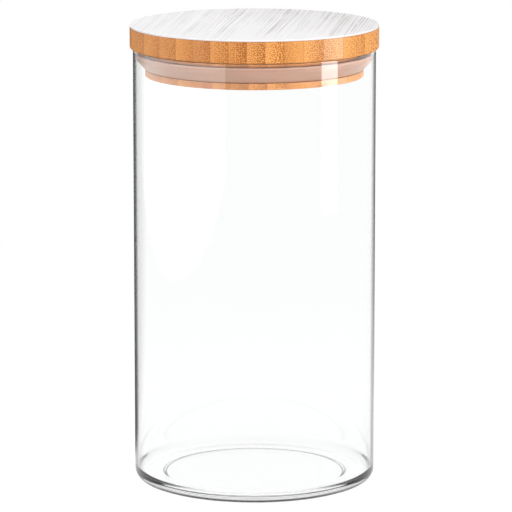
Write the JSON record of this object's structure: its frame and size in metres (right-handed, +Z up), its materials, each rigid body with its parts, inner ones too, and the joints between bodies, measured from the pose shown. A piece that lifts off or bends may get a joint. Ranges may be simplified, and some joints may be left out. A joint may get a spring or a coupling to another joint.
{
  "type": "lidded glass canister",
  "caption": "Straight round glass storage jar with a flat bamboo stopper lid, a pale wood top and a silicone ring that seals it in the mouth.",
  "frame": {"origin": "centre of the foot on the table", "axes": "+Z up the jar's axis, the strips of the lid run along Y"},
  "size_m": [0.1026, 0.1026, 0.1909],
  "materials": {
    "glass": "clear, smooth, fire-polished",
    "silicone": "translucent, satin",
    "veneer": "white-washed, fine grain, matt",
    "bamboo": "sanded and oiled, strips on edge"
  },
  "bodies": {
    "jar": {"glass_jar": "glass"},
    "seal": {"seal_ring": "silicone"},
    "lid": {"lid_strip_01": "bamboo", "lid_strip_02": "bamboo", "lid_strip_03": "bamboo", "lid_strip_04": "bamboo", "lid_strip_05": "bamboo", "lid_strip_06": "bamboo", "lid_strip_07": "bamboo", "lid_strip_08": "bamboo", "lid_strip_09": "bamboo", "lid_strip_10": "bamboo", "lid_strip_11": "bamboo", "lid_strip_12": "bamboo", "lid_strip_13": "bamboo", "lid_strip_14": "bamboo", "lid_strip_15": "bamboo", "top_veneer": "veneer"}
  },
  "joints": [
    {"name": "lid_lift", "type": "slide", "parent": "jar", "child": "seal", "axis": [0, 0, 1], "range_m": [0, 0.12]},
    {"name": "lid_turn", "type": "hinge", "parent": "seal", "child": "lid", "pos_m": [0, 0, 0.1758], "axis": [0, 0, 1], "continuous": true}
  ]
}
